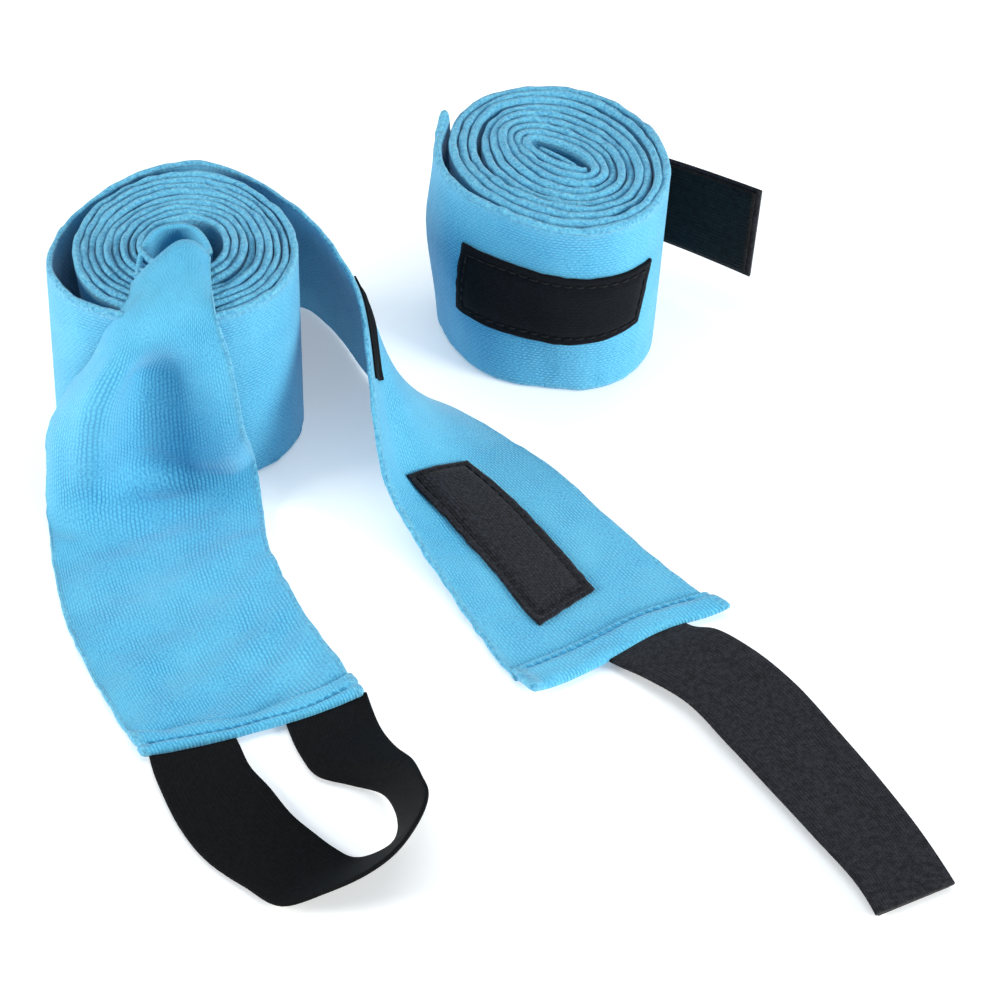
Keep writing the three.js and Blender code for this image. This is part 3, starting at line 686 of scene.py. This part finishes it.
def tape_weave(name, dark, light, roughness, column, row, depth, speckle_mm, sheen=0.0):
    """A narrow woven tape: fine columns along its length over a speckle of two tones."""
    material, tree, shader = new_material(
        name, Roughness=roughness, Specular_IOR_Level=0.14, Sheen_Weight=sheen, Sheen_Roughness=0.5,
    )
    height = weave_height(tree, column, row)[1]
    body = node(tree, "ShaderNodeTexCoord").outputs["Object"]
    grains = {"Vector": body, "Scale": 1000 / speckle_mm, "Detail": 3.0, "Roughness": 0.65}
    speckle = node(tree, "ShaderNodeTexNoise", grains)
    both = node(tree, "ShaderNodeMath", {0: height, 1: 0.35, 2: speckle}, operation="MULTIPLY_ADD")
    tone = node(tree, "ShaderNodeMapRange", {"Value": both, "From Min": 0.5, "From Max": 0.95})
    tones = {"Factor": tone, 6: (*linear(dark), 1), 7: (*linear(light), 1)}
    colour = node(tree, "ShaderNodeMix", tones, data_type="RGBA")
    tree.links.new(colour.outputs[2], shader.inputs["Base Color"])
    bump = node(tree, "ShaderNodeBump", {"Height": both, "Strength": 0.7, "Distance": depth * MM})
    tree.links.new(bump.outputs[0], shader.inputs["Normal"])
    return material


def thread(name, colour):
    """Spun polyester sewing thread: a smooth, slightly glossy ply, a little uneven in tone."""
    material, tree, shader = new_material(name, Roughness=0.6, Specular_IOR_Level=0.25)
    body = node(tree, "ShaderNodeTexCoord").outputs["Object"]
    ply = node(tree, "ShaderNodeTexNoise", {"Vector": body, "Scale": 1800.0, "Detail": 1.0})
    shade = tuple(np.array(linear(colour)) * 0.55)
    tones = {"Factor": ply, 6: (*linear(colour), 1), 7: (*shade, 1)}
    mixed = node(tree, "ShaderNodeMix", tones, data_type="RGBA")
    tree.links.new(mixed.outputs[2], shader.inputs["Base Color"])
    bump = node(tree, "ShaderNodeBump", {"Height": ply, "Strength": 0.5, "Distance": 0.0001})
    tree.links.new(bump.outputs[0], shader.inputs["Normal"])
    return material


finishes = {}


def make_finishes(settings):
    """The pair's materials, each made once."""
    finishes.update(
        band=band_weave(settings),
        # Knitted elastic: dense black rubber and polyester, soft and almost without gloss.
        elastic=tape_weave(
            "black_elastic_woven", "#050506", "#121215", roughness=0.85, column=0.8, row=0.9, depth=0.12,
            speckle_mm=0.9,
        ),
        # Nylon tape back: grey-black, with a fine mottle where its weave catches the light.
        webbing=tape_weave(
            "black_nylon_tape_woven", "#0a0b0f", "#2c2c33", roughness=0.75, column=0.7, row=0.8, depth=0.14,
            speckle_mm=1.1, sheen=0.06,
        ),
        # Moulded nylon hooks: a dark field of stiff points with small glints.
        hooks=tape_weave(
            "black_nylon_hooks", "#040506", "#16181c", roughness=0.5, column=0.9, row=0.9, depth=0.4,
            speckle_mm=1.3,
        ),
        # Brushed nylon loops: a matt, fibrous pile.
        loops=tape_weave(
            "black_nylon_loops_brushed", "#07080c", "#2a2c35", roughness=0.95, column=0.9, row=1.1,
            depth=0.25, speckle_mm=0.8, sheen=0.12,
        ),
        # The loops on the rolled wrap are a darker, bluer copy of the loop tape: painted shade, as that
        # patch lies in shade.
        loops_pressed=tape_weave(
            "black_nylon_loops_pressed", "#020306", "#0c121b", roughness=0.9, column=0.9, row=1.1, depth=0.2,
            speckle_mm=0.8, sheen=0.04,
        ),
        # A close damask weave: flat, smooth and plain black.
        label=tape_weave(
            "black_label_damask_woven", "#050607", "#131417", roughness=0.8, column=0.5, row=0.5, depth=0.08,
            speckle_mm=0.6,
        ),
        dark_thread=thread("black_polyester_thread", "#121318"),
        blue_thread=thread("blue_polyester_thread", "#3a9fcf"),
    )


# ---- Settings, operators and panel ----


class WrapSettings(bpy.types.PropertyGroup):
    """The sizes and colours that a user would change."""

    band: FloatVectorProperty(
        name="Band colour", description="Colour of the cloth's raised threads", subtype="COLOR",
        default=linear("#58badc"), min=0, max=1,
    )
    # The groove colour is painted shade between the cloth's threads, and also the dark tone of the fuzz
    # along its selvedges.
    band_groove_shade_and_fuzz: FloatVectorProperty(
        name="Groove colour", description="Colour between the cloth's threads", subtype="COLOR",
        default=linear("#127cb8"), min=0, max=1,
    )
    band_pale: FloatVectorProperty(
        name="Pale colour", description="Colour of brushed fibres on the cloth", subtype="COLOR",
        default=linear("#70c8e6"), min=0, max=1,
    )
    weave_column: FloatProperty(
        name="Weave column", description="Width of one column of the cloth's weave", unit="LENGTH",
        default=0.0008, min=0.0002, precision=4,
    )
    weave_row: FloatProperty(
        name="Weave row", description="Length of one warp float of the cloth's weave", unit="LENGTH",
        default=0.0012, min=0.0002, precision=4,
    )
    tape_thickness: FloatProperty(
        name="Tape thickness", description="Thickness of the strap, loop and patch tapes", unit="LENGTH",
        default=0.0009, min=0.0003, max=0.0015, precision=4,
    )
    floor: FloatVectorProperty(
        name="Floor colour", description="Colour of the plain floor", subtype="COLOR",
        default=linear("#f6f7f8"), min=0, max=1,
    )
    left_light: FloatProperty(
        name="Left light", description="Power of the light on the left", default=9.0, min=0, unit="POWER",
    )
    right_light: FloatProperty(
        name="Right light", description="Power of the light on the right", default=12.6, min=0,
        unit="POWER",
    )
    top_light: FloatProperty(
        name="Top light", description="Power of the overhead light", default=6.1, min=0, unit="POWER",
    )


class HANDWRAPS_OT_stage(bpy.types.Operator):
    """Make the camera, the two side lights, the overhead light and the floor"""

    bl_idname = "handwraps.stage"
    bl_label = "Stage"

    def execute(self, context):
        settings = context.scene.hand_wraps
        target = Vector(placed([0, 0, 0]))
        data = bpy.data.cameras.new("camera")
        data.lens, data.sensor_width = CAMERA_LENS, 36
        data.clip_start, data.clip_end = 0.05, 20
        camera = bpy.data.objects.new("camera", data)
        away, above = CAMERA_DISTANCE * math.cos(CAMERA_TILT), CAMERA_DISTANCE * math.sin(CAMERA_TILT)
        camera.location = placed([0, -away, above])
        camera.rotation_euler = (math.pi / 2 - CAMERA_TILT, 0, 0)
        context.scene.collection.objects.link(camera)
        context.scene.camera = camera
        lights = (
            ("left_light", (-900, -270, 330), settings.left_light, 0.4),
            ("right_light", (880, -430, 340), settings.right_light, 0.4),
            ("top_light", (0, 150, 1100), settings.top_light, 1.0),
        )
        for name, place, power, size in lights:
            lamp = bpy.data.lights.new(name, "AREA")
            lamp.energy, lamp.size, lamp.color = power, size, LAMP_TONE
            light = bpy.data.objects.new(name, lamp)
            light.location = placed(place)
            light.rotation_euler = (target - light.location).to_track_quat("-Z", "Y").to_euler()
            context.scene.collection.objects.link(light)
        world = bpy.data.worlds.new("studio")
        world.use_nodes = True
        background = world.node_tree.nodes["Background"]
        background.inputs["Color"].default_value = ROOM_TONE
        background.inputs["Strength"].default_value = ROOM_STRENGTH
        context.scene.world = world
        context.scene.view_settings.view_transform = "Standard"
        # Plain matt paper, lit a little from behind so that it stays white.
        material, _, shader = new_material("matt_paper_backdrop", Roughness=0.9, Specular_IOR_Level=0.1)
        shader.inputs["Base Color"].default_value = (*settings.floor, 1)
        shader.inputs["Emission Color"].default_value = (1, 1, 1, 1)
        shader.inputs["Emission Strength"].default_value = FLOOR_GLOW
        mesh = bpy.data.meshes.new("floor")
        r = FLOOR_REACH
        mesh.from_pydata([(-r, -r, 0), (r, -r, 0), (r, r, 0), (-r, r, 0)], [], [(0, 1, 2, 3)])
        mesh.materials.append(material)
        floor = bpy.data.objects.new("floor", mesh)
        context.scene.collection.objects.link(floor)
        return {"FINISHED"}


class HANDWRAPS_OT_open_band(bpy.types.Operator):
    """Make the open wrap's wound band, its loose turn and its outer tail as one cloth"""

    bl_idname = "handwraps.open_band"
    bl_label = "Open Band"

    def execute(self, context):
        v = edge_weighted(23)[None, :]
        turns = evenly(lambda t: open_spiral(t, 0), 0, OPEN_TURNS, 1.25)[:, None]
        lead = -np.linspace(1, 0, 14)[1:-1] / (len(OUTER_TAIL) - 1)
        u = evenly(lambda u: outer_net.at(u, 0.5), 0, CLOSURE_HEM_START + 0.006, 1.25)
        tail = outer_tail(np.concatenate([lead, u])[:, None], v)
        mid = np.concatenate([open_spiral(turns, v)[:-1], tail])
        along = along_grid(mid)
        in_roll = ease((len(turns) - np.arange(len(mid))) / 30 + 1)
        mid = ruffled(mid, along, 40)
        base = TAIL_CLOTH + (ROLL_CLOTH - TAIL_CLOTH) * in_roll
        thick = selvedge_thickness(base, along, v.size, 60)
        band = cloth("open_band", mid, thick, finishes["band"], along)
        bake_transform(band)
        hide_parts("open_roll", "open_loose_turn", "open_outer_tail", "open_closure_end")
        return {"FINISHED"}


class HANDWRAPS_OT_inner_tail(bpy.types.Operator):
    """Make the open wrap's inner tail, from the core over the rim to the thumb loop"""

    bl_idname = "handwraps.inner_tail"
    bl_label = "Inner Tail"

    def execute(self, context):
        v = np.linspace(0, 1, 45)
        u = evenly(lambda u: inner_net.at(u, 0.5), 0, THUMB_HEM_START + 0.006, 1.0)
        mid = inner_tail(u[:, None], v[None, :])
        along = along_grid(mid)
        mid = ruffled(mid, along, 80, rise=0.25)
        base = np.full(len(u), TAIL_CLOTH)
        thick = selvedge_thickness(base, along, len(v), 90)
        tail = cloth("open_inner_band", mid, thick, finishes["band"], along)
        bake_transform(tail)
        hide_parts("open_inner_tail", "open_thumb_end")
        return {"FINISHED"}


class HANDWRAPS_OT_rolled_band(bpy.types.Operator):
    """Make the rolled wrap's wound band"""

    bl_idname = "handwraps.rolled_band"
    bl_label = "Rolled Band"

    def execute(self, context):
        v = edge_weighted(19)
        turns = evenly(lambda t: rolled_spiral(t, 0), 0, ROLLED_TURNS, 1.2)
        mid = rolled_spiral(turns[:, None], v[None, :])
        along = along_grid(mid)
        mid = ruffled(mid, along, 140, rise=0.45)
        thick = selvedge_thickness(np.full(len(turns), ROLLED_CLOTH), along, len(v), 160)
        band = cloth("rolled_band", mid, thick, finishes["band"], along)
        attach(band, "rolled_wrap")
        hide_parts("rolled_roll")
        return {"FINISHED"}


def raised(surface, u, v, offset):
    """Points on a surface moved out along its normals."""
    u, v = np.broadcast_arrays(np.asarray(u, float), np.asarray(v, float))
    return surface(u, v) + normal_of(surface, u, v) * np.broadcast_to(offset, u.shape)[..., None]


def finish_piece(piece, body, replaced):
    """The piece rides on a body and stands for a CAD node, which it hides."""
    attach(piece, body)
    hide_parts(replaced)
    return piece


class HANDWRAPS_OT_hems(bpy.types.Operator):
    """Make the folded and sewn hems at the bands' ends, with their stitching"""

    bl_idname = "handwraps.hems"
    bl_label = "Hems"

    def execute(self, context):
        v = np.linspace(0, 1, 31)[None, :]
        lift = (HEM_THICKNESS - TAIL_CLOTH) / 2
        parts = (
            ("closure", outer_tail, CLOSURE_HEM_START, "closure_end"),
            ("thumb", inner_tail, THUMB_HEM_START, "thumb_end"),
        )
        for end, surface, start, body in parts:
            name = f"open_{end}_fold"
            share = np.linspace(0, 1, 17)[:, None]
            sewn = 0.2 if body == "closure_end" else 0.62
            corner = share * (1.3 * np.exp(-v / 0.04) + 0.8 * np.exp(-(1 - v) / 0.05))
            mid = raised(surface, start + (1 - start) * share, v, lift + corner * (body == "closure_end"))
            round_off = np.sqrt(np.clip(1 - np.abs(2 * share - 1) ** 6, 0.12, 1))
            groove = 1 - 0.4 * np.exp(-(((share - sewn) / 0.09) ** 2))
            bumps = 1 + 0.2 * crumple(share * 10, v * 50, (2.5, 2.6), 3)
            hem = cloth(name, mid, HEM_THICKNESS * round_off * groove * bumps, finishes["band"])
            finish_piece(hem, body, f"open_{end}_hem")
            across = np.linspace(0.04, 0.96, 60)
            seam_at = np.full(60, start + (1 - start) * sewn)
            row = raised(surface, seam_at, across, lift + 0.3 * HEM_THICKNESS)
            facing = normal_of(surface, seam_at, across)
            seam = stitches(
                name + "_stitching", row, facing, finishes["blue_thread"], spacing=2.0, length=1.5
            )
            finish_piece(seam, body, f"open_{end}_stitching")
        share = np.linspace(0, 1, 15)
        angle = (ROLLED_HEM_AT[0] + (ROLLED_HEM_AT[1] - ROLLED_HEM_AT[0]) * share)[:, None]
        mid = rolled_wall(angle, ROLLED_TOP + (CLOTH_BOTTOM - ROLLED_TOP) * v, 0.4)
        ear = (share**2)[:, None] * (1 - v) ** 8
        mid = mid + np.stack([-0.7 * ear, 1.2 * ear, 1.8 * ear], -1)
        mid[..., 2] = np.maximum(mid[..., 2], 0.55 * HEM_THICKNESS)
        round_off = np.sqrt(np.clip(1 - np.abs(2 * share - 1) ** 6, 0.12, 1))[:, None]
        hem = cloth("rolled_closure_fold", mid, HEM_THICKNESS * round_off, finishes["band"])
        finish_piece(hem, "rolled_wrap", "rolled_closure_hem")
        heights = np.linspace(44, 3, 60)
        row = rolled_wall(ROLLED_SEAM_AT, heights, 0.4 + 0.35 * HEM_THICKNESS)
        out = unit(row - rolled_wall(ROLLED_SEAM_AT, heights, 0))
        seam = stitches("rolled_closure_fold_stitching", row, out, finishes["blue_thread"])
        finish_piece(seam, "rolled_wrap", "rolled_closure_stitching")
        return {"FINISHED"}


class HANDWRAPS_OT_rolled_core(bpy.types.Operator):
    """Make the thumb hem, its stitching and the thumb loop, pressed flat inside the rolled wrap's core"""

    bl_idname = "handwraps.rolled_core"
    bl_label = "Rolled Core"

    def execute(self, context):
        angle = ROLLED_CORE[2]
        ahead = np.array([math.cos(angle), math.sin(angle), 0])
        side = np.array([-math.sin(angle), math.cos(angle), 0])
        middle = np.append(ROLLED_CENTRE, 0)
        low_shift = np.array([ROLLED_BASE_SHIFT, 0, 0])

        def leaf(reach, top, bottom, sideways):
            """A slightly bowed upright leaf along the core's long axis, moved sideways off its middle."""
            s = np.linspace(-1, 1, 9)[:, None, None]
            height = np.linspace(top, bottom, 31)[None, :, None]
            bow = 0.25 * np.cos(1.5 * s)
            drawn_in = ROLLED_BASE_SCALE + (1 - ROLLED_BASE_SCALE) * height / ROLLED_HEIGHT
            shift = low_shift * (1 - height / ROLLED_HEIGHT)
            return middle + shift + ahead * (s * reach * drawn_in) + side * (sideways + bow) + UP * height

        folded = leaf(reach=5.0, top=46.2, bottom=1.6, sideways=-0.55)
        hem = cloth("rolled_thumb_fold", folded, 1.15, finishes["band"])
        finish_piece(hem, "rolled_wrap", "rolled_thumb_hem")
        flattened = leaf(reach=3.8, top=36, bottom=14, sideways=0.68)
        elastic = cloth("rolled_thumb_elastic", flattened, 0.5, finishes["elastic"], width=STRAP_WIDTH)
        finish_piece(elastic, "rolled_wrap", "rolled_thumb_loop")
        row = leaf(reach=5.0, top=44, bottom=3, sideways=0.03)[5]
        facing = np.tile(side, (len(row), 1))
        seam = stitches("rolled_thumb_seam", row, facing, finishes["blue_thread"], radius=0.1, lift=0.02)
        finish_piece(seam, "rolled_wrap", "rolled_thumb_stitching")
        return {"FINISHED"}


def sewn_patch(name, surface, corners, size, under, thickness, material, ragged=0.14, bow=(0, 0)):
    """A patch sewn on a surface: its edges are a little ragged, and it is pinched where the seam runs.
    Size is its length and width, under is how far its lower face is from the surface, and bow is how far
    the middles of its two long edges bend sideways, all in mm."""
    s = np.linspace(0, 1, int(size[0] / 0.8) + 1)[:, None]
    t = np.linspace(0, 1, int(size[1] / 0.8) + 1)[None, :]
    gone, over = s * size[0], t * size[1]
    t_out = (2 * t - 1) ** 3 * ragged / size[1] * wander(gone + 40 * np.round(t), 2.1, 17)
    t_out = t_out + (bow[0] + (bow[1] - bow[0]) * t) / size[1] * np.sin(math.pi * s)
    s_out = (2 * s - 1) ** 9 * ragged / size[0] * wander(over + 40 * np.round(s), 2.1, 18)
    u, v = patch_place(corners, s + s_out, t + t_out)
    edge = np.minimum(np.minimum(gone, size[0] - gone), np.minimum(over, size[1] - over))
    pinch = 0.25 * np.exp(-(((edge - SEAM_INSET) / 0.7) ** 2))
    puff = 0.22 * ease((edge - SEAM_INSET) / 3) * (1 + 0.5 * crumple(gone, over, (9, 6), 21))
    mid = surface(u, v) + normal_of(surface, u, v) * (under + thickness / 2 - pinch + puff)[..., None]
    return cloth(name, mid, thickness, material, width=size[1])


def patch_seam(name, surface, corners, size, height, bow):
    """The stitched rectangle inside a patch's edges."""
    s0, t0 = SEAM_INSET / size[0], SEAM_INSET / size[1]
    corner = np.array([[s0, t0], [1 - s0, t0], [1 - s0, 1 - t0], [s0, 1 - t0], [s0, t0]])
    share = np.linspace(0, 4, 241)
    s, t = (np.interp(share, np.arange(5), corner[:, c]) for c in range(2))
    u, v = patch_place(corners, s, t + (bow[0] + (bow[1] - bow[0]) * t) / size[1] * np.sin(math.pi * s))
    normal = normal_of(surface, u, v)
    path = surface(u, v) + normal * height
    return stitches(name, path, normal, finishes["dark_thread"], spacing=2.6, length=2.0)


class HANDWRAPS_OT_patches(bpy.types.Operator):
    """Make the sewn loop patches and the woven labels"""

    bl_idname = "handwraps.patches"
    bl_label = "Patches and Labels"

    def execute(self, context):
        tape = context.scene.hand_wraps.tape_thickness / MM
        under = TAIL_CLOTH / 2 + 0.05
        patch = sewn_patch(
            "open_loop_field", outer_tail, PATCH_CORNERS, OPEN_PATCH_SIZE, under, tape, finishes["loops"],
            bow=OPEN_PATCH_BOW,
        )
        finish_piece(patch, "open_wrap", "open_loop_patch")
        seam = patch_seam(
            "open_loop_seam", outer_tail, PATCH_CORNERS, OPEN_PATCH_SIZE, under + tape - SEAM_SINKS,
            OPEN_PATCH_BOW,
        )
        finish_piece(seam, "open_wrap", "open_patch_stitching")
        label = sewn_patch(
            "open_woven_label", outer_tail, LABEL_CORNERS, OPEN_LABEL_SIZE, under, LABEL_THICKNESS,
            finishes["label"], ragged=0.1,
        )
        finish_piece(label, "open_wrap", "open_label")
        under = ROLL_CLOTH / 2 + 0.1
        surface = rolled_patch_surface
        # The rolled wrap's patch takes the darker copy of the loop tape, with painted shade.
        patch = sewn_patch(
            "rolled_loop_field", surface, ROLLED_PATCH_CORNERS, ROLLED_PATCH_SIZE, under, tape,
            finishes["loops_pressed"], bow=ROLLED_PATCH_BOW,
        )
        finish_piece(patch, "rolled_wrap", "rolled_loop_patch")
        seam = patch_seam(
            "rolled_loop_seam", surface, ROLLED_PATCH_CORNERS, ROLLED_PATCH_SIZE, under + tape - SEAM_SINKS,
            ROLLED_PATCH_BOW,
        )
        finish_piece(seam, "rolled_wrap", "rolled_patch_stitching")
        angle = np.linspace(*ROLLED_LABEL_AT, 27)[:, None]
        mid = rolled_wall(angle, np.linspace(*ROLLED_LABEL_HEIGHTS, 12)[None, :], under + GAP, turns_in=1)
        label = cloth("rolled_woven_label", mid, LABEL_THICKNESS, finishes["label"], width=LABEL_WIDTH)
        finish_piece(label, "rolled_wrap", "rolled_label")
        return {"FINISHED"}


class HANDWRAPS_OT_tapes(bpy.types.Operator):
    """Make the hook straps, their hook fields and the open wrap's thumb loop"""

    bl_idname = "handwraps.tapes"
    bl_label = "Straps and Loops"

    def execute(self, context):
        tape = context.scene.hand_wraps.tape_thickness / MM
        across = np.linspace(0, 1, 15)[None, :]
        u = evenly(lambda u: strap_net.at(u, 0.5), 0.09, 1, 1.2)[:, None]
        strap = cloth("open_strap", strap_net.at(u, across), tape, finishes["webbing"], width=STRAP_WIDTH)
        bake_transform(strap)
        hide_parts("open_hook_strap")
        u = evenly(lambda u: strap_net.at(u, 0.5), 0.27, 0.995, 1.2)[:, None]
        below = -(tape + HOOK_THICKNESS) / 2
        inside = HOOK_MARGIN + (1 - 2 * HOOK_MARGIN) * across
        field = raised(strap_net.at, u, inside, below)
        hooks = cloth("open_hooks", field, HOOK_THICKNESS, finishes["hooks"], width=STRAP_WIDTH)
        finish_piece(hooks, "hook_strap", "open_hook_field")
        u = evenly(lambda u: loop_net.at(u, 0.5), 0, 1, 1.0)[:, None]
        points = loop_net.at(u, across)
        loop = cloth("open_thumb_elastic", points, tape, finishes["elastic"], width=LOOP_WIDTH)
        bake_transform(loop)
        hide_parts("open_thumb_loop")
        # The rolled wrap's strap follows the wall clockwise from the hem, then leaves it straight.
        offset = ROLL_CLOTH / 2 + tape / 2 + GAP
        angles = np.arange(STRAP_FOLLOWS_FROM, STRAP_LEAVES_AT - 1, -8.0)[:, None]
        wrapped = rolled_wall(angles, np.array([STRAP_HEIGHTS]), offset, turns_in=1)
        direction = np.array([math.cos(STRAP_END_DIRECTION), math.sin(STRAP_END_DIRECTION), 0])
        gone = np.array(STRAP_END_ROWS)[:, None, None]
        outward = np.cross(UP, direction)
        lean = outward * STRAP_LEAN * (gone / STRAP_END_LENGTH) * np.array([0.0, -1.0])[None, :, None]
        sag = outward * np.sin(math.pi * gone / STRAP_END_LENGTH)
        straight = wrapped[-1][None] + direction * gone + lean + sag
        net = Net(np.concatenate([wrapped, straight]))
        u = evenly(lambda u: net.at(u, 0.5), 0, 1, 1.2)[:, None]
        strap = cloth("rolled_strap_tape", net.at(u, across), tape, finishes["webbing"], width=STRAP_WIDTH)
        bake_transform(strap)
        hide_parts("rolled_strap_wrapped", "rolled_strap_end")
        first = (len(wrapped) + 0.4) / (len(net.rows) - 1)
        u = evenly(lambda u: net.at(u, 0.5), first, 0.995, 1.2)[:, None]
        field = raised(net.at, u, inside, below)
        hooks = cloth("rolled_hooks", field, HOOK_THICKNESS, finishes["hooks"], width=STRAP_WIDTH)
        finish_piece(hooks, "rolled_strap", "rolled_hook_field")
        return {"FINISHED"}


class HANDWRAPS_PT_panel(bpy.types.Panel):
    """The sizes and colours, and a button for each group of pieces"""

    bl_idname = "HANDWRAPS_PT_panel"
    bl_label = "Hand Wraps"
    bl_space_type = "VIEW_3D"
    bl_region_type = "UI"
    bl_category = "Hand Wraps"

    def draw(self, context):
        for name in WrapSettings.__annotations__:
            self.layout.prop(context.scene.hand_wraps, name)
        for name in STEPS:
            self.layout.operator("handwraps." + name)


STEPS = ("stage", "open_band", "inner_tail", "rolled_band", "rolled_core", "hems", "patches", "tapes")

CLASSES = (
    WrapSettings,
    HANDWRAPS_OT_stage,
    HANDWRAPS_OT_open_band,
    HANDWRAPS_OT_inner_tail,
    HANDWRAPS_OT_rolled_band,
    HANDWRAPS_OT_rolled_core,
    HANDWRAPS_OT_hems,
    HANDWRAPS_OT_patches,
    HANDWRAPS_OT_tapes,
    HANDWRAPS_PT_panel,
)


def register():
    for made in CLASSES:
        bpy.utils.register_class(made)
    bpy.types.Scene.hand_wraps = PointerProperty(type=WrapSettings)


def unregister():
    del bpy.types.Scene.hand_wraps
    for made in reversed(CLASSES):
        bpy.utils.unregister_class(made)


def main():
    register()
    make_finishes(bpy.context.scene.hand_wraps)
    bpy.ops.handwraps.stage()
    bpy.ops.handwraps.open_band()
    bpy.ops.handwraps.inner_tail()
    bpy.ops.handwraps.rolled_band()
    bpy.ops.handwraps.rolled_core()
    bpy.ops.handwraps.hems()
    bpy.ops.handwraps.patches()
    bpy.ops.handwraps.tapes()


if __name__ == "__main__":
    main()
